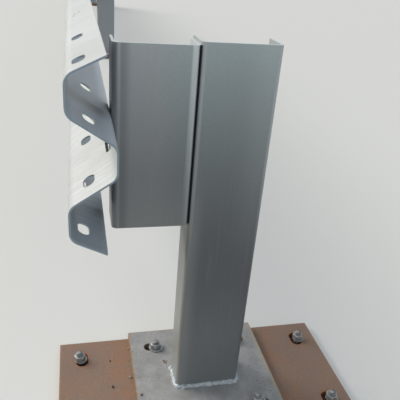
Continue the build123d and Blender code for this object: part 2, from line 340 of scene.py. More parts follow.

# %% [markdown]
# ## Posts and spacers: galvanised channel, dull grey
#
# The channels are thicker steel and cool slowly after the dip, so the zinc turns into a smooth,
# bluish grey alloy without clear crystals. The eye gets an even, faintly glossy grey between clear
# upright lines, with pale cut edges at the top that also carry a painted highlight.
#
# Such zinc mirrors what stands round it, and here a plain floor and sky give it little to mirror.
# So light, shade and reflections are painted by place: painted light at the top, painted shade in
# the middle and painted light at the foot; a warmer, lighter tone towards the rail, a lighter web
# low down by the bend on that side and lighter faces that point towards the rail, with warm and
# faintly pink painted reflections above; a paler far side at the top; painted highlights along
# the bends and a painted glint on the spacer's bend by the post; painted shade on the spacer's bend
# behind the rail and beside it; near black painted shade in the crease between the flanges; and a
# slanting painted shadow on the flange under the spacer. So the tones of the photograph are painted
# by place: light at the top, dark in the middle and lighter at the foot, warmer and faintly pink
# towards the rail, bright lines along the bends, a dark bend behind the rail, near black in the
# crease between the flanges, and a slanting shade on the flange under the spacer. Weather may have
# a share in them, which the photograph can't tell. Painted tones stay in place under other lamps,
# and there they look like dirt or wear. The long ones weren't seen past the first post, so the
# other posts are an even, lighter grey.


# %% Post and spacer finish
def galvanised_channel():
    material, tree, place = start("dull_hot_dip_zinc_channel")
    across, along, height = (add(tree, "SeparateXYZ", {0: place}, out=axis) for axis in "XYZ")
    facing = add(tree, "NewGeometry", {}, out="Normal")
    to_x, to_y, to_z = (add(tree, "SeparateXYZ", {0: facing}, out=axis) for axis in "XYZ")
    dusty = blots(tree, place, 260, 0.3, 0.75, shift=(0.4, 0, 0), detail=2)
    runs = blots(tree, place, 7, 0.5, 0.8, drawn=(1, 1, 22), detail=2)
    grain = blots(tree, place, 2, 0.35, 0.75, detail=2)
    specks = blots(tree, place, 2.6, 0.74, 0.8, shift=(3, 0, 5), detail=1)

    # Painted light, shade and reflections, placed by height, place and facing
    other_posts = add(tree, "MapRange", {0: along, 1: 0.5 * BAY, 2: 0.6 * BAY})
    climb = add(tree, "MapRange", {0: height, 1: 350 * MM, 2: POST_TOP})
    painted_light_top = add(tree, "Math", {0: climb, 1: 2.2}, operation="POWER")
    painted_light_foot = add(tree, "MapRange", {0: height, 1: 340 * MM, 2: 40 * MM}, **EASED)
    # Painted light towards the rail side, low down by the bend, on faces that point towards the
    # rail and on the far side at the top, with warm and pink painted reflections above
    rail_side = add(tree, "MapRange", {0: across, 1: -90 * MM, 2: -150 * MM}, **EASED)
    painted_light_near_bend = overlap(tree, (across, -38 * MM, -70 * MM), (height, 600 * MM, 450 * MM), **EASED)
    rail_faces = add(tree, "MapRange", {0: to_x, 1: -0.5, 2: -0.9}, **EASED)
    painted_warm_reflection = overlap(tree, rail_faces, painted_light_top)
    painted_pink_reflection = overlap(tree, rail_side, painted_light_top)
    painted_light_far_side = overlap(tree, (across, 0.0, 60 * MM), climb, **EASED)

    # The painted shadow under the spacer ends at a slanting line: the height less 0.8 times the way
    # along from the post.
    slant = add(tree, "Math", {0: along, 1: BAY / 2, 2: -BAY / 2}, operation="WRAP")
    slant = add(tree, "Math", {0: slant, 1: -0.8, 2: height}, operation="MULTIPLY_ADD")
    above_slant = add(tree, "MapRange", {0: slant, 1: 385 * MM, 2: 445 * MM}, **EASED)
    under_spacer = (height, SPACER_BOTTOM + 2 * MM, SPACER_BOTTOM - 1 * MM)
    under_shade = overlap(tree, above_slant, under_spacer, rail_faces)

    # Painted highlights and a painted glint on the bends, painted shade behind the rail, beside the
    # bend and in the crease, and a painted highlight on the cut top edges
    corner = add(tree, "Math", {0: to_x, 1: to_y}, operation="MULTIPLY")
    corner = add(tree, "Math", {0: corner}, operation="ABSOLUTE")
    painted_bend_highlights = add(tree, "MapRange", {0: corner, 1: 0.04, 2: 0.40}, **EASED)
    painted_bend_highlights = overlap(tree, painted_bend_highlights, (height, 370 * MM, 750 * MM))
    glint = add(tree, "MapRange", {0: across, 1: -91 * MM, 2: -85.5 * MM}, **EASED)
    glint = overlap(tree, glint, (across, -76 * MM, -79 * MM), painted_light_top)
    shade_behind_rail = add(tree, "MapRange", {0: across, 1: -209.5 * MM, 2: -216.5 * MM}, **EASED)
    from_web, to_bend = (across, -187 * MM, -204 * MM), (across, -211 * MM, -206 * MM)
    shade_beside_bend = overlap(tree, from_web, to_bend, **EASED)
    from_crease = away(tree, across, -CHANNEL_HALF[0])
    crease_shade = add(tree, "MapRange", {0: from_crease, 1: 3.8 * MM, 2: 1.4 * MM}, **EASED)
    from_bottom = (height, SPACER_BOTTOM - 2 * MM, SPACER_BOTTOM + 2 * MM)
    from_top = (height, SPACER_TOP + 0.5 * MM, SPACER_TOP - 0.5 * MM)
    crease_shade = overlap(tree, crease_shade, from_bottom, from_top)
    rim = add(tree, "MapRange", {0: to_z, 1: 0.8, 2: 0.95}, **EASED)

    # Dust, runs, grain and specks are the zinc's own and the other posts' lighter grey is their
    # base tone; the other coats are painted light, shade and reflections, the rim a pale cut edge
    # with a painted highlight
    colour = coats(
        tree,
        "#64686B",
        ("#BBC9CB", painted_light_top, 1.0),
        ("#878B8D", painted_light_foot, 1.0),
        ("#C4CBD0", other_posts, 0.85),
        ("#B0A9A7", rail_side, 0.16),
        ("#C2C4C1", painted_light_near_bend, 0.25),
        ("#D0CCC0", rail_faces, 0.17),
        ("#35332E", under_shade, 0.72),
        ("#D8CFC6", painted_warm_reflection, 0.45),
        ("#DACAD0", painted_pink_reflection, 0.22),
        ("#E2EDEF", painted_light_far_side, 0.22),
        ("#A09B99", dusty, 0.15),
        ("#A9B0B1", runs, 0.12),
        ("#5F6363", grain, 0.12),
        ("#C9CECE", specks, 0.25),
        ("#CFD2D4", painted_bend_highlights, 0.7),
        ("#F4F9FB", glint, 0.8),
        ("#35414B", shade_behind_rail, 0.55),
        ("#4A5054", shade_beside_bend, 0.4),
        ("#1D2024", crease_shade, 0.87),
        ("#D5E0E2", rim, 0.85),
    )
    surface(tree, colour, 0.25, 0.38, [(grain, 0.02), (dusty, 0.2)])
    return material


post_zinc = galvanised_channel()
print("made", post_zinc.name)

# %% [markdown]
# ## Plates: how far a point is from an edge or a slot
#
# Rust starts where the zinc is thinnest or the steel was cut: along the edges and round the slots.
# So both plates need the distance to their nearest edge and slot. Along the rail the posts repeat,
# so a place is first measured from its nearest post. Half the plate's side less how far the point
# is from the middle, the smaller of the two directions, is the distance to the edge. A slot is the
# straight line between its two end centres with a radius all round. FAR stands for a length that
# no place reaches, in a direction that doesn't count.


# %% Distances on a plate
SLOT_REACH = 23 * MM
# The middle of a slot, its radius and the way it runs
BASE_SLOTS = ((108 * MM, 106 * MM), 12.5 * MM, "X")
ANCHOR_SLOTS = ((284.5 * MM, 105.5 * MM), 14.5 * MM, "Y")
FAR = 9.0


def from_post(tree, place):
    """The place measured from the nearest post: Y is wrapped at half a bay to either side."""
    limits = {1: (FAR, BAY / 2, FAR), 2: (-FAR, -BAY / 2, -FAR)}
    return add(tree, "VectorMath", {0: place, **limits}, operation="WRAP")


def edge_distance(tree, local, half):
    """Distance inwards from a plate's nearest edge: half its side less |x| or |y|, the smaller."""
    off_middle = add(tree, "VectorMath", {0: local}, operation="ABSOLUTE")
    inwards = add(tree, "VectorMath", {0: (*half, FAR), 1: off_middle}, operation="SUBTRACT")
    sides = [add(tree, "SeparateXYZ", {0: inwards}, out=axis) for axis in "XY"]
    return add(tree, "Math", {0: sides[0], 1: sides[1]}, operation="MINIMUM")


def slot_distance(tree, local, slots):
    """Distance outwards from the nearest of four like slots: the length of what is left of
    ||place| - slot middle| past the slot's straight part, less its radius."""
    (x, y), radius, axis = slots
    straight = SLOT_REACH - radius
    run = (straight, 0, FAR) if axis == "X" else (0, straight, FAR)
    off_middle = add(tree, "VectorMath", {0: local}, operation="ABSOLUTE")
    off_slot = add(tree, "VectorMath", {0: off_middle, 1: (x, y, 0)}, operation="SUBTRACT")
    off_slot = add(tree, "VectorMath", {0: off_slot}, operation="ABSOLUTE")
    past = add(tree, "VectorMath", {0: off_slot, 1: run}, operation="SUBTRACT")
    past = add(tree, "VectorMath", {0: past, 1: (0, 0, 0)}, operation="MAXIMUM")
    length = add(tree, "VectorMath", {0: past}, out="Value", operation="LENGTH")
    return add(tree, "Math", {0: length, 1: radius}, operation="SUBTRACT")


print("slots are", round(2 * SLOT_REACH / MM), "mm long on both plates")

# %% [markdown]
# ## Base plate: galvanised plate with rusty edges
#
# The plate was flame cut, galvanised and scuffed. Dust lies on it as a dry, warm grey; small chips
# show brown rust, more of them towards the edges, where the rust is orange and ragged because the
# zinc wears away unevenly. Beige dust has gathered along the edge on the field side. At the first
# post a brown stain has run from the weld's open end.


# %% Base plate finish
STAIN = (-86 * MM, 49 * MM, BASE_TOP)


def galvanised_plate():
    material, tree, place = start("scuffed_zinc_plate_with_rust")
    local = from_post(tree, place)
    inwards = edge_distance(tree, local, BASE_HALF)
    around_slots = slot_distance(tree, local, BASE_SLOTS)
    dust = blots(tree, place, 40, 0.3, 0.72, detail=7)
    grime = blots(tree, place, 13, 0.5, 0.8, shift=(2, 8, 0), detail=6)
    grit = blots(tree, place, 2.2, 0.52, 0.78, detail=3)
    ragged = blots(tree, place, 10, 0.2, 0.8, shift=(0, 4, 0), detail=5)
    pocks = blots(tree, place, 5, 0.0, 1.0, shift=(3, 1, 0), detail=3)
    eaten = add(tree, "MapRange", {0: inwards, 1: 130 * MM, 2: 0.0, 3: 0.0, 4: 0.09})
    pocks = add(tree, "Math", {0: pocks, 1: eaten}, operation="ADD")
    chips = add(tree, "MapRange", {0: pocks, 1: 0.73, 2: 0.83}, **EASED)
    reach = add(tree, "Math", {0: ragged, 1: 4 * MM}, operation="MULTIPLY")
    past = add(tree, "Math", {0: inwards, 1: reach}, operation="SUBTRACT")
    rust = add(tree, "MapRange", {0: past, 1: 0.5 * MM, 2: -2.5 * MM}, **EASED)
    past_slots = add(tree, "Math", {0: around_slots, 1: reach}, operation="SUBTRACT")
    slot_rims = add(tree, "MapRange", {0: past_slots, 1: 1.5 * MM, 2: -1.5 * MM}, **EASED)
    stain = spot(tree, place, STAIN, ragged, 0, 11)
    stain_brown = coats(tree, "#5C402C", ("#9A7148", grit, 1.0))
    to_field = add(tree, "SeparateXYZ", {0: local}, out="X")
    rim_dust = overlap(tree, (inwards, 12 * MM, 3 * MM), (to_field, 50 * MM, 120 * MM), **EASED)

    colour = coats(
        tree,
        "#A5A5A5",
        ("#8F8F8F", dust, 1.0),
        ("#8F8577", grime, 0.45),
        ("#827B71", grit, 0.35),
        ("#80654C", slot_rims, 0.6),
        ("#7C563B", chips, 0.75),
        (stain_brown, stain, 0.9),
        ("#AD7A4A", rust, 0.85),
        ("#A89E8A", rim_dust, 0.6),
    )
    surface(tree, colour, 0.1, 0.62, [(grit, 0.12), (dust, 0.2)])
    return material


plate_zinc = galvanised_plate()
print("made", plate_zinc.name)

# %% [markdown]
# ## Anchor plate: bare steel under dry brown rust
#
# The wide plate has no zinc. Its rust is a dusty brown with the grain of sand paper. It is more
# orange where it stays damp, beside the upper plate and round the slots, and greyer where feet have
# rubbed it and where dust is swept up against the upper plate. It is no metal to the eye: rust
# scatters light as earth does.


# %% Anchor plate finish
def rusty_steel():
    material, tree, place = start("dry_rust_on_bare_steel")
    local = from_post(tree, place)
    outside = edge_distance(tree, local, BASE_HALF)
    around_slots = slot_distance(tree, local, ANCHOR_SLOTS)
    inwards = edge_distance(tree, local, ANCHOR_HALF)
    broad = blots(tree, place, 110, 0.32, 0.68, detail=6)
    dusty = blots(tree, place, 28, 0.42, 0.75, shift=(5, 0, 0), detail=7)
    fresh = blots(tree, place, 30, 0.3, 0.7, shift=(0, 0, 9), detail=7)
    grain = blots(tree, place, 1.9, 0.42, 0.72, detail=3)
    pale_grain = blots(tree, place, 2.3, 0.5, 0.8, shift=(4, 4, 0), detail=3)
    pits = blots(tree, place, 4, 0.74, 0.79, shift=(0, 7, 0), detail=2)
    damp = overlap(tree, (outside, -95 * MM, -5 * MM), fresh, **EASED)
    ring = add(tree, "MapRange", {0: around_slots, 1: 6 * MM, 2: 1 * MM}, **EASED)
    # A painted highlight along the plate's edges
    edge = add(tree, "MapRange", {0: inwards, 1: 6 * MM, 2: 0.0}, **EASED)
    heaped = add(tree, "Math", {0: dusty, 1: 12 * MM, 2: outside}, operation="MULTIPLY_ADD")
    swept = add(tree, "MapRange", {0: heaped, 1: -8 * MM, 2: 0.0}, **EASED)

    colour = coats(
        tree,
        "#897468",
        ("#927766", broad, 1.0),
        ("#847A73", dusty, 0.55),
        ("#A0714F", fresh, 0.15),
        ("#A5714A", damp, 0.4),
        ("#A8602F", ring, 0.55),
        ("#7F7A6C", swept, 0.6),
        ("#64493A", grain, 0.45),
        ("#B39A88", pale_grain, 0.35),
        ("#4A342B", pits, 0.8),
        ("#A5846C", edge, 0.4),
    )
    surface(tree, colour, 0.0, 0.85, [(grain, 0.2), (dusty, 0.35)])
    return material


anchor_rust = rusty_steel()
print("made", anchor_rust.name)

# %% [markdown]
# ## Grit and mortar
#
# The anchor plates' slots are filled with dark grit that serves as painted shade, and a few crumbs
# of pale mortar have stuck beside the base plate. Both are stone dust: rough, without any shine.


# %% Grit and mortar finishes
def stone_dust(name, dark, pale, size):
    material, tree, place = start(name)
    grains = blots(tree, place, size, 0.35, 0.7, detail=5)
    surface(tree, coats(tree, dark, (pale, grains, 1.0)), 0.0, 0.95, [(grains, 0.4)])
    return material


# This dark grit serves the rust flakes and the slot fill, which is painted shade
packed_grit = stone_dust("packed_road_grit", "#352C26", "#5C4B3E", 3)
mortar = stone_dust("dried_mortar", "#93857A", "#B5A99F", 2)
print("made", packed_grit.name, "and", mortar.name)

# %% [markdown]
# ## Bolts, nuts and washers: zinc plated steel
#
# Bought bolts are plated, not dipped: a thin bright coat that has dulled to a satin grey. They are
# darker in the thread's grooves, in the ring round each stud and where a nut or washer meets what
# it lies on: dirt together with painted shade. The pieces carry this as an attribute of their own,
# called grime, from 0 to 1.


# %% Bolt finish
def plated_bolts():
    material, tree, place = start("zinc_plated_bolts")
    film = blots(tree, place, 9, 0.3, 0.7)
    specks = blots(tree, place, 1.4, 0.55, 0.78, detail=2)
    # grime darkens grooves and contacts: dirt together with painted shade
    held = add(tree, "Attribute", {}, out="Fac", attribute_name="grime")
    colour = coats(
        tree,
        "#B2B5B5",
        ("#979A9A", film, 1.0),
        ("#6E6A63", specks, 0.5),
        ("#3A3530", held, 0.85),
    )
    surface(tree, colour, 0.5, 0.45, [(specks, 0.05)])
    return material


bolt_zinc = plated_bolts()
print("made", bolt_zinc.name)

# %% [markdown]
# ## Weld: arc-welded bead under bright zinc spray
#
# The bead was left as it was laid and sprayed with zinc paint, so it is the lightest thing at the
# post's foot. Where the spray missed, small spots have begun to rust.


# %% Weld finish
def weld_metal():
    material, tree, place = start("zinc_sprayed_weld_bead")
    lumps = blots(tree, place, 4, 0.35, 0.7, detail=5)
    missed = blots(tree, place, 9, 0.68, 0.76, shift=(1, 5, 0), detail=4)
    colour = coats(tree, "#C3CAD0", ("#949BA1", lumps, 1.0), ("#7B5A41", missed, 0.8))
    surface(tree, colour, 0.3, 0.45, [(lumps, 0.3)])
    return material


weld_zinc = weld_metal()
print("made", weld_zinc.name)

# %% Give every CAD node its finish
FINISHES = {
    "rail_panel": rail_zinc,
    "post": post_zinc,
    "spacer": post_zinc,
    "base_plate": plate_zinc,
    "anchor_plate": anchor_rust,
    "post_weld": weld_zinc,
}
for name, node in nodes.items():
    kind = name.rsplit("_", 1)[0]
    node.data.materials.clear()
    node.data.materials.append(FINISHES.get(kind, bolt_zinc))
print("finishes given to", len(nodes), "nodes")

# %% [markdown]
# ## Surfaces from numbers
#
# Each new piece is a grid of points: rows run along it and columns run round it. The points come
# from a formula over the whole grid at once, and the faces join neighbours, the last column to the
# first. Each point also says how much grime it holds. A finished piece is one mesh at the origin.
# Points that meet are merged, which closes seams and poles, and then every face is turned outwards.


# %% From grids to pieces
def grid(points, grime=0.0):
    """Points of a grid that closes round its columns, the quads that join neighbours, and how much
    grime each point holds, given for all, for each row or for each point."""
    rows, columns = points.shape[:2]
    row, column = np.meshgrid(np.arange(rows - 1), np.arange(columns), indexing="ij")
    beside = (column + 1) % columns
    low, high = row * columns, (row + 1) * columns
    quads = np.stack([low + column, low + beside, high + beside, high + column], -1)
    grime = np.broadcast_to(grime, (rows, columns))
    return points.reshape(-1, 3), quads.reshape(-1, 4), grime.ravel()


def placed(shapes, matrix):
    """The same shapes turned and moved by a 4 x 4 matrix."""
    table = np.array(matrix)
    return [(points @ table[:3, :3].T + table[:3, 3], *rest) for points, *rest in shapes]


def make_piece(name, shapes, material, replaced, sharp=40):
    """One mesh object from many shapes, riding on the frame and standing for CAD nodes."""
    sizes = [len(points) for points, _, _ in shapes]
    starts = np.cumsum([0] + sizes[:-1])
    points, grime = (np.concatenate([shape[part] for shape in shapes]) for part in (0, 2))
    quads = np.concatenate([quads + first for (_, quads, _), first in zip(shapes, starts)])
    mesh = bpy.data.meshes.new(name)
    mesh.from_pydata(points.tolist(), [], quads.tolist())
    held = mesh.attributes.new("grime", "FLOAT", "POINT")
    held.data.foreach_set("value", grime.astype(np.float32))
    work = bmesh.new()
    work.from_mesh(mesh)
    bmesh.ops.remove_doubles(work, verts=work.verts, dist=1e-6)
    bmesh.ops.recalc_face_normals(work, faces=work.faces)
    work.to_mesh(mesh)
    work.free()
    mesh.materials.append(material)
    mesh.shade_smooth()
    mesh.set_sharp_from_angle(angle=np.radians(sharp))
    piece = bpy.data.objects.new(name, mesh)
    bpy.context.scene.collection.objects.link(piece)
    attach(piece, "root")
    if replaced:
        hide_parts(*replaced)


def bolt_piece(name, shapes, node):
    """A piece of zinc plated steel that stands for one CAD node."""
    make_piece(name, shapes, bolt_zinc, [node])


print("a grid of 3 rows and 4 columns has", len(grid(np.zeros((3, 4, 3)))[1]), "quads")

# %% [markdown]
# ## Threads, nuts, heads and washers
#
# A thread is a helix rolled into a bar, 2 mm from crest to crest on these 16 mm bolts. Here the
# bar's radius falls and rises with the height less the turn, so the groove climbs as it goes round.
# A nut is a six-sided block whose corners a cone turns off at both ends: at its ends it is as wide
# as 0.95 of its flats, and it grows by 1.73 times the depth, a cone of 30 degrees. A button head is
# a cap of a sphere. All are profiles or grids round an upright axis.

# %% Fastener surfaces
BOLT, PITCH = 16 * MM, 2 * MM
NUT_FLATS, NUT_HEIGHT, NUT_BORE = 24 * MM, 13 * MM, 14.08 * MM
CONE_START, CONE_SLOPE = 0.475 * NUT_FLATS, 1.73
ROWS_PER_PITCH = 10
ROUND = np.arange(48) * 2 * np.pi / 48


def turned(profile, grime=0.0):
    """A profile of (radius, height) turned round Z: x = r cos a, y = r sin a."""
    radius, height = np.array(profile, float).T
    around = [np.outer(radius, np.cos(ROUND)), np.outer(radius, np.sin(ROUND))]
    points = np.stack([*around, np.outer(height, np.ones_like(ROUND))], -1)
    return grid(points, np.reshape(grime, (-1, 1)))


def bolt_bar(bottom, threaded, top):
    """Bar, plain up to the threaded height and cut above it: the radius is half the bolt less a
    depth times a triangle wave of height over pitch less turn, with its crests and roots flattened.
    The thread begins over half a pitch, and the bar's end is broken by a chamfer."""
    steps = int((top - threaded) / PITCH * ROWS_PER_PITCH)
    height = np.concatenate([[bottom], np.linspace(threaded, top, steps)])[:, None]
    wave = 2 * np.abs((height / PITCH - ROUND / (2 * np.pi)) % 1 - 0.5)
    begins = np.clip((height - threaded) / (0.5 * PITCH), 0, 1)
    depth = 0.5 * PITCH * np.clip(1.3 * wave - 0.15, 0, 1) * begins
    chamfer = np.clip(0.09 * BOLT - (top - height), 0, None)
    radius = BOLT / 2 - np.maximum(depth, chamfer)
    points = np.stack([radius * np.cos(ROUND), radius * np.sin(ROUND), height + 0 * ROUND], -1)
    ends = points[[0, -1]] * (0, 0, 1)
    groove = np.pad(np.clip(depth / (0.35 * PITCH), 0, 1), ((1, 1), (0, 0)))
    return grid(np.concatenate([ends[:1], points, ends[1:]]), groove)


def hexagon(bottom, top, bore):
    """Six-sided block: the radius is half the flats over the cosine of the angle from the nearest
    flat's middle, but no more than a cone allows near the two ends."""
    around = np.arange(72) * 2 * np.pi / 72
    side = NUT_FLATS / 2 / np.cos((around + np.pi / 6) % (np.pi / 3) - np.pi / 6)
    share = np.array([0, 0.04, 0.08, 0.12, 0.5, 0.88, 0.92, 0.96, 1.0])[:, None]
    from_end = np.minimum(share, 1 - share) * (top - bottom)
    radius = np.minimum(side, CONE_START + CONE_SLOPE * from_end)
    radius = np.concatenate([[0 * around + bore / 2], radius, [0 * around + bore / 2]])
    levels = bottom + np.concatenate([[[0]], share, [[1]]]) * (top - bottom) + 0 * around
    points = np.stack([radius * np.cos(around), radius * np.sin(around), levels], -1)
    grime = np.concatenate([[[1.0]], np.clip(0.9 - 8 * share, 0, 1), [[0.9 if bore else 0.0]]])
    if bore:
        points, grime = np.concatenate([points, points[:1]]), np.concatenate([grime, grime[:1]])
    return grid(points, grime)


def button(diameter, height):
    """Cap of a sphere below Z = 0 on a short upright rim."""
    half, rim = diameter / 2, 0.12 * height
    rise = height - rim
    crown = (half**2 + rise**2) / (2 * rise)
    angle = np.linspace(0, np.arcsin(half / crown), 14)
    cap = np.stack([crown * np.sin(angle), -height + crown * (1 - np.cos(angle))], -1)
    return turned([*cap.tolist(), (half, 0), (0, 0)])


def washer(bore, diameter, bottom, thickness):
    """Flat ring whose outer rims are broken by a fifth of its thickness."""
    inner, outer, top, broken = bore / 2, diameter / 2, bottom + thickness, thickness / 5
    lower = [(inner, bottom), (outer - broken, bottom), (outer, bottom + broken)]
    upper = [(outer, top - broken), (outer - broken, top), (inner, top)]
    return turned([*lower, *upper, lower[0]], [1, 1, 0.8, 0.1, 0, 0.5, 1])


print("a nut measures", round(NUT_FLATS / np.cos(np.pi / 6) / MM, 1), "mm over its corners")

# %% [markdown]
# ## Foundation bolts
#
# Each base plate is held by four studs in slots that run across, and each anchor plate by four more
# in slots that run along, so that a post can be shifted both ways before it is tightened. The
# washers have slid off centre. Each nut stopped at its own angle when it was tight. The table
# gives the top of the plate, how far the stud stands proud of its nut, the washer's diameter, the
# stud's place and the nuts' usual turn.

# %% Foundation bolts and washers
WASHER_THICKNESS, WASHER_SHIFT, WASHER_BORE = 3 * MM, 2.5 * MM, 21.6 * MM
STUDS = {
    "base": (BASE_TOP, 4 * MM, 37 * MM, (103 * MM, 102 * MM), 0.0),
    "anchor": (ANCHOR_TOP, 8 * MM, 30 * MM, (290 * MM, 105.5 * MM), np.pi / 6),
}


def stud(plate_top, proud, angle):
    """Stud up through a washer's thickness and a nut, the nut turned to its own angle."""
    seat = plate_top + WASHER_THICKNESS
    top = seat + NUT_HEIGHT
    nut = placed([hexagon(seat, top, NUT_BORE)], Matrix.Rotation(angle, 4, "Z"))
    return [bolt_bar(0, top - PITCH, top + proud), *nut]


turns = np.random.default_rng(4).uniform(-0.2, 0.2, (POSTS, 8))
for number in range(POSTS):
    label = number + 1
    for row, (kind, (plate_top, proud, width, half, angle)) in enumerate(STUDS.items()):
        bolts, rings = [], []
        for corner, (x, y) in enumerate([(-1, -1), (-1, 1), (1, -1), (1, 1)]):
            hole = Matrix.Translation((x * half[0], y * half[1] + number * BAY, 0))
            bolts += placed(stud(plate_top, proud, angle + turns[number, 4 * row + corner]), hole)
            ring = washer(WASHER_BORE, width, plate_top, WASHER_THICKNESS)
            rings += placed([ring], hole @ Matrix.Translation((WASHER_SHIFT, 0, 0)))
        bolt_piece(f"{kind}_studs_{label}", bolts, f"{kind}_bolts_{label}")
        bolt_piece(f"{kind}_rings_{label}", rings, f"{kind}_washers_{label}")
print("foundation studs:", 8 * POSTS)

# %% [markdown]
# ## Frame bolts
#
# Hexagon bolts join spacer and post through the flanges that stand back to back. Button-head
# bolts hold the rail and its lap: their round heads face the traffic, with nothing to catch on.
# A slope of the rail's section gives each lap bolt its place, and the direction square to the slope
# gives its axis. The section has an inner and an outer slope on either side of its middle. Each is
# given by the depth and height where it starts, its angle and the height of its bolts, which stand
# in two columns, measured from the middle post. HOLD is how far the valley's rounded sides hold a
# button head off its flat.

# %% Frame bolts
HEAD_HEIGHT, BUTTON, BUTTON_HEIGHT, END = 10 * MM, 32 * MM, 9 * MM, 5 * MM
HOLD = 0.15 * MM
SPACER_BOLTS = (539 * MM, 739 * MM)
LAP_POST = 1
LAP_COLUMNS = (-136.5 * MM, 46.5 * MM)
SLOPES = {"inner": (0, 25, 33.5, 52), "outer": (-72, 125.4, 26.5, 136.3)}


def frame_bolt(head, grip):
    """Bolt along +Z: head below Z = 0, plain shank through the grip, nut and threaded end."""
    top = grip + NUT_HEIGHT
    return [head, bolt_bar(-0.5 * MM, top - PITCH, top + END), hexagon(grip, top, NUT_BORE)]


def aimed(origin, direction):
    """Matrix that turns +Z into a direction and moves the origin to a point."""
    turn = Vector((0, 0, 1)).rotation_difference(Vector(direction)).to_matrix().to_4x4()
    return Matrix.Translation(origin) @ turn


def slope_spots():
    """Depth and height of the bolts on the back face's slopes, and the way in from the front."""
    for slope, (depth, start_height, angle, height) in SLOPES.items():
        towards_post = -1 if slope == "inner" else 1
        lean = np.radians(angle)
        x = depth * MM + towards_post * (height - start_height) * MM / np.tan(lean)
        for side in (1, -1):
            yield x, side * height * MM, (np.sin(lean), 0, -side * towards_post * np.cos(lean))


hex_head = hexagon(-HEAD_HEIGHT, 0, 0)
button_head = button(BUTTON, BUTTON_HEIGHT)
for number in range(POSTS):
    label, y = number + 1, number * BAY
    pair = []
    for z in SPACER_BOLTS:
        flange = (-CHANNEL_HALF[0] - CHANNEL_WALL, y, z)
        pair += placed(frame_bolt(hex_head, 2 * CHANNEL_WALL), aimed(flange, (1, 0, 0)))
    bolt_piece(f"spacer_bolt_pair_{label}", pair, f"spacer_bolts_{label}")
    sheets = (LAPPED if number == LAP_POST else SHEET) + HOLD
    single = frame_bolt(button_head, sheets + CHANNEL_WALL)
    single = placed(single, aimed((SPACER_LEFT - sheets, y, RAIL_MIDDLE), (1, 0, 0)))
    bolt_piece(f"rail_bolt_round_{label}", single, f"rail_bolt_{label}")

laps = []
for column in LAP_COLUMNS:
    for depth, height, inwards in slope_spots():
        back = Vector((SPACER_LEFT + depth, LAP_POST * BAY + column, RAIL_MIDDLE + height))
        face = back - Vector(inwards) * LAPPED
        laps += placed(frame_bolt(button_head, LAPPED), aimed(face, inwards))
bolt_piece("splice_bolts_round_1", laps, "splice_bolts_1")
print("frame bolts:", 3 * POSTS + len(laps) // 3)

# %% [markdown]
# ## The weld at the post's foot
#
# The welder ran one bead round the outside of the channel. Each drop of molten steel froze before
# the next came, which leaves ripples about 3 mm apart, and a hand wanders. Where the welder stopped
# and struck the arc again there is a lump, and drops of spatter stick beside the bead. The bead is
# a rounded fillet carried along the channel's outline: its size swells with the ripples, wanders
# along the way and grows at each stop, and its skin leans back in each ripple. A drop is a ball
# whose radius a sum of three waves makes lumpy, sunk a little into the plate. Drops lie between two
# corners of a strip in front of the post, in millimetres.

# %% Weld bead
WELD_LEG, RIPPLE = 7 * MM, 3 * MM
STOPS = np.array([0.04, 0.29, 0.52, 0.70])
DROPS = np.array([3.2, 1.6, 2.4, 1.8, 1.4]) * MM
SPATTERED = ((-80, -52), (80, -47))


def channel_outline():
    """Points round the channel's outer face, each with its outward direction: flange, bend, web,
    bend, flange. On the bends the direction turns evenly; elsewhere it stays."""
    half_x, half_y = CHANNEL_HALF
    inner_x, inner_y = half_x - CHANNEL_BEND, CHANNEL_BEND - half_y
    flange, web, bend = half_y - inner_y, 2 * inner_x, np.pi / 2 * CHANNEL_BEND
    marks = np.cumsum([0, flange, bend, web, bend, flange])
    s = np.linspace(0, marks[-1], int(marks[-1] / (RIPPLE / 6)))
    angle = np.interp(s, marks, np.pi * np.array([1, 1, 1.5, 1.5, 2, 2]))
    outwards = np.stack([np.cos(angle), np.sin(angle)], -1)
    core_x = np.interp(s, marks, inner_x * np.array([-1, -1, -1, 1, 1, 1]))
    core_y = np.interp(s, marks, [half_y, inner_y, inner_y, inner_y, inner_y, half_y])
    return s, np.stack([core_x, core_y], -1) + outwards * CHANNEL_BEND, outwards


def weld_bead(seed):
    """Closed fillet on the base plate: rows follow the outline, columns go from the root out over
    the plate, up the rounded skin and back to the wall."""
    s, line, outwards = channel_outline()
    rng = np.random.default_rng(seed)
    # How far the bead reaches over the plate and up the wall, along its way
    knots = np.linspace(0, s[-1], 60)
    wander = np.interp(s, knots, rng.normal(0, 0.12, knots.size))
    beat = s / RIPPLE + np.interp(s, knots, rng.normal(0, 0.3, knots.size))
    ends = np.sqrt(np.clip(np.minimum(s, s[-1] - s) / (4 * MM), 0, 1))
    lump = np.exp(-(((s[:, None] - STOPS * s[-1]) / (5 * MM)) ** 2)).sum(1)
    ripple = 0.16 * np.abs(np.sin(np.pi * beat))
    reach = WELD_LEG * (0.84 + wander + ripple + 0.45 * lump) * ends
    rise = np.interp(s, knots, rng.normal(0, 0.10, knots.size))
    climb = WELD_LEG * np.clip(0.80 + rise + 0.30 * lump, 0, 1.1) * ends
    # The section, from the root round the skin and back, then leant back with each ripple
    angle = np.linspace(0, np.pi / 2, 9)
    skin = (1 + 0.25 * np.sin(2 * angle)) / (np.cos(angle) + np.sin(angle))
    out = np.concatenate([[-0.3], skin * np.cos(angle), [-0.3]])
    up = np.concatenate([[0.0], skin * np.sin(angle), [1.0]])
    lag = 0.35 * WELD_LEG * ends[:, None] * np.concatenate([[0], np.sin(2 * angle), [0]])
    beside = np.stack([-outwards[:, 1], outwards[:, 0]], -1)
    flat = line[:, None] + outwards[:, None] * (reach[:, None] * out)[..., None]
    flat = flat + beside[:, None] * lag[..., None]
    points = np.concatenate([flat, (BASE_TOP + climb[:, None] * up)[..., None]], -1)
    return grid(points)


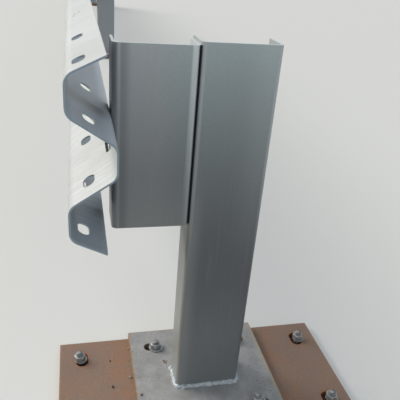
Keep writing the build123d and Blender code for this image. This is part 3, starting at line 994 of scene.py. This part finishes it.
def crumb(x, y, floor_height, size, seed):
    """Lumpy ball: the radius is half the size times 1 plus three waves of the two angles."""
    around, down = np.meshgrid(np.arange(14) * 2 * np.pi / 14, np.linspace(0, np.pi, 9))
    a, b, c = np.random.default_rng(seed).uniform(0, 2 * np.pi, 3)
    waves = 0.16 * np.sin(2 * around + a) + 0.12 * np.sin(3 * around + b)
    waves = waves + 0.1 * np.sin(4 * down + c)
    radius = size / 2 * (1 + np.sin(down) * waves)
    flat, rise = radius * np.sin(down), 0.7 * radius * np.cos(down)
    points = np.stack([flat * np.cos(around), flat * np.sin(around), rise], -1)
    return grid(points + (x, y, floor_height + 0.25 * size))


for number in range(POSTS):
    label = number + 1
    rng = np.random.default_rng(20 + number)
    beside_bead = rng.uniform(*SPATTERED, (len(DROPS), 2)) * MM
    numbered = enumerate(zip(beside_bead, DROPS))
    drops = [crumb(x, y, BASE_TOP, size, i) for i, ((x, y), size) in numbered]
    bead = placed([weld_bead(7 + number), *drops], Matrix.Translation((0, number * BAY, 0)))
    make_piece(f"post_weld_bead_{label}", bead, weld_zinc, [f"post_weld_{label}"], sharp=70)
print("weld beads:", POSTS, "with", len(DROPS), "drops of spatter each")

# %% [markdown]
# ## Crumbs and grit on the plates
#
# Hard crumbs of mortar and flakes of rust lie on the first post's plates. The anchor plates' slots
# are half full of packed dark grit, put there as painted shade so that no daylight shows under the
# nuts. The grit in a slot is a flat, closed cushion whose outline is the slot's: a circle whose two
# halves are pushed apart along the slot. Its top sinks towards the rim and is uneven. Places and
# sizes are in millimetres.

# %% Crumbs and slot grit
MORTAR = {(-167, 128): 6.5, (-173, 30): 7.5}
FLAKES = {(-217, 91): (ANCHOR_TOP, 4.0), (-216, 6): (ANCHOR_TOP, 6.0), (-155, -46): (BASE_TOP, 4.5)}
GRIT_DEPTH, GRIT_RINGS = 8 * MM, 8


def slot_shade_grit(x, y, seed):
    """Cushion that fills a slot: rows go from the middle of its underside out to the rim and back
    over the top, and each ring is a circle of that share, halved and pushed apart."""
    _, radius, _ = ANCHOR_SLOTS
    around = np.arange(40) * 2 * np.pi / 40
    share = np.concatenate([np.linspace(0, 1, GRIT_RINGS), np.linspace(1, 0, GRIT_RINGS)])[:, None]
    push = (SLOT_REACH - radius) * np.sign(np.sin(around + 0.01)) * share
    a, b, c = np.random.default_rng(seed).uniform(0, 2 * np.pi, 3)
    px = radius * share * np.cos(around)
    py = radius * share * np.sin(around) + push
    uneven = np.sin(px * 400 + a) + np.sin(py * 300 + b) + np.sin((px + py) * 700 + c)
    top = GRIT_DEPTH * (1 - 0.25 * share**4) + 0.6 * MM * uneven
    underside = np.arange(2 * GRIT_RINGS)[:, None] < GRIT_RINGS
    height = np.where(underside, 0.2 * MM, top)
    return grid(np.stack([px + x, py + y, height], -1))


numbered = enumerate(MORTAR.items())
stuck = [crumb(x * MM, y * MM, ANCHOR_TOP, size * MM, i) for i, ((x, y), size) in numbered]
make_piece("mortar_crumbs", stuck, mortar, [])
flakes = [crumb(x * MM, y * MM, z, size * MM, 9) for (x, y), (z, size) in FLAKES.items()]
make_piece("rust_flakes", flakes, packed_grit, [])
(slot_x, slot_y), _, _ = ANCHOR_SLOTS
# Dark grit in the slots, as painted shade under the nuts
for number in range(POSTS):
    fills = [
        slot_shade_grit(x * slot_x, y * slot_y + number * BAY, 30 + number)
        for x in (-1, 1)
        for y in (-1, 1)
    ]
    make_piece(f"slot_shade_grit_{number + 1}", fills, packed_grit, [])
print("crumbs:", len(stuck) + len(flakes), "filled slots:", 4 * POSTS)

# %% [markdown]
# ## Studio
#
# The part stands on a plain pale floor. The light is that of a bright, hazy day: a wide soft lamp
# high on the traffic side, a sky that is cool towards the field side and dim behind the camera, and
# a small fill lamp over the rail's end that lifts the upper part of the post. The camera and shiny
# surfaces see the floor pale, but it throws back less light than that on to the steel, as darker
# ground would, so that faces turned away from the lamp keep their shade.


# %% What the camera and shiny surfaces see
def seen_rays(tree):
    """1 for a ray that shows a background as it is: camera, reflected or transmitted."""
    kinds = ("Camera", "Glossy", "Transmission")
    rays = [add(tree, "LightPath", {}, out=f"Is {kind} Ray") for kind in kinds]
    seen = add(tree, "Math", {0: rays[0], 1: rays[1]}, operation="MAXIMUM")
    return add(tree, "Math", {0: seen, 1: rays[2]}, operation="MAXIMUM")


print("three kinds of ray show the background")

# %% Floor
LEFT, RIGHT, BEHIND, AHEAD = -40, 40, -30, 70
floor_mesh = bpy.data.meshes.new("floor")
corners = [(LEFT, BEHIND, 0), (RIGHT, BEHIND, 0), (RIGHT, AHEAD, 0), (LEFT, AHEAD, 0)]
floor_mesh.from_pydata(corners, [], [(0, 1, 2, 3)])
floor = bpy.data.objects.new("floor", floor_mesh)
bpy.context.scene.collection.objects.link(floor)
floor_paint, tree, _ = start("floor_paint")
surface(tree, coats(tree, "#6E6D6B", ("#E3E2DF", seen_rays(tree), 1.0)), 0.0, 0.9)
tree.nodes["Principled BSDF"].inputs["Specular IOR Level"].default_value = 0.2
floor_mesh.materials.append(floor_paint)
print("floor of", RIGHT - LEFT, "by", AHEAD - BEHIND, "m")

# %% Sky and lamps
world = bpy.data.worlds.new("hazy_sky")
bpy.context.scene.world = world
world.use_nodes = True
tree = world.node_tree
direction = add(tree, "TexCoord", {}, out="Generated")
east = add(tree, "SeparateXYZ", {0: direction}, out="X")
ahead = add(tree, "SeparateXYZ", {0: direction}, out="Y")
cool = add(tree, "MapRange", {0: east, 1: -0.6, 2: 0.8}, **EASED)
tint = coats(tree, "#F1F1EE", ("#A9BDD2", cool, 1.0))
dim = add(tree, "MapRange", {0: ahead, 1: -0.9, 2: 0.5, 3: 0.52, 4: 0.72})
seen = seen_rays(tree)
sky = tree.nodes["Background"]
tree.links.new(coats(tree, tint, ("#CDD0D1", seen, 1.0)), sky.inputs["Color"])
tree.links.new(add(tree, "Mix", {0: seen, 2: dim, 3: 1.0}), sky.inputs["Strength"])


def shine(name, kind, power, place, target, **settings):
    """A lamp at a place that points at a target, with its power and settings."""
    lamp = bpy.data.lights.new(name, kind)
    for setting, value in {"energy": power, **settings}.items():
        setattr(lamp, setting, value)
    holder = bpy.data.objects.new(name, lamp)
    back = (Vector(place) - Vector(target)).to_track_quat("Z", "Y").to_matrix().to_4x4()
    holder.matrix_world = Matrix.Translation(place) @ back
    bpy.context.scene.collection.objects.link(holder)


warm, cold = linear("#FFFBF3")[:3], linear("#E4EEF5")[:3]
shine("hazy_sun", "SUN", 2.3, (-6.6, 5.4, 6.3), (0, 0, 0), angle=np.radians(36), color=warm)
shine("fill", "AREA", 6.0, (0.35, -1.9, 1.75), (0, 0, 0.6), size=0.9, color=cold)
bpy.context.scene.view_settings.view_transform = "Standard"
print("sky and two lamps ready")
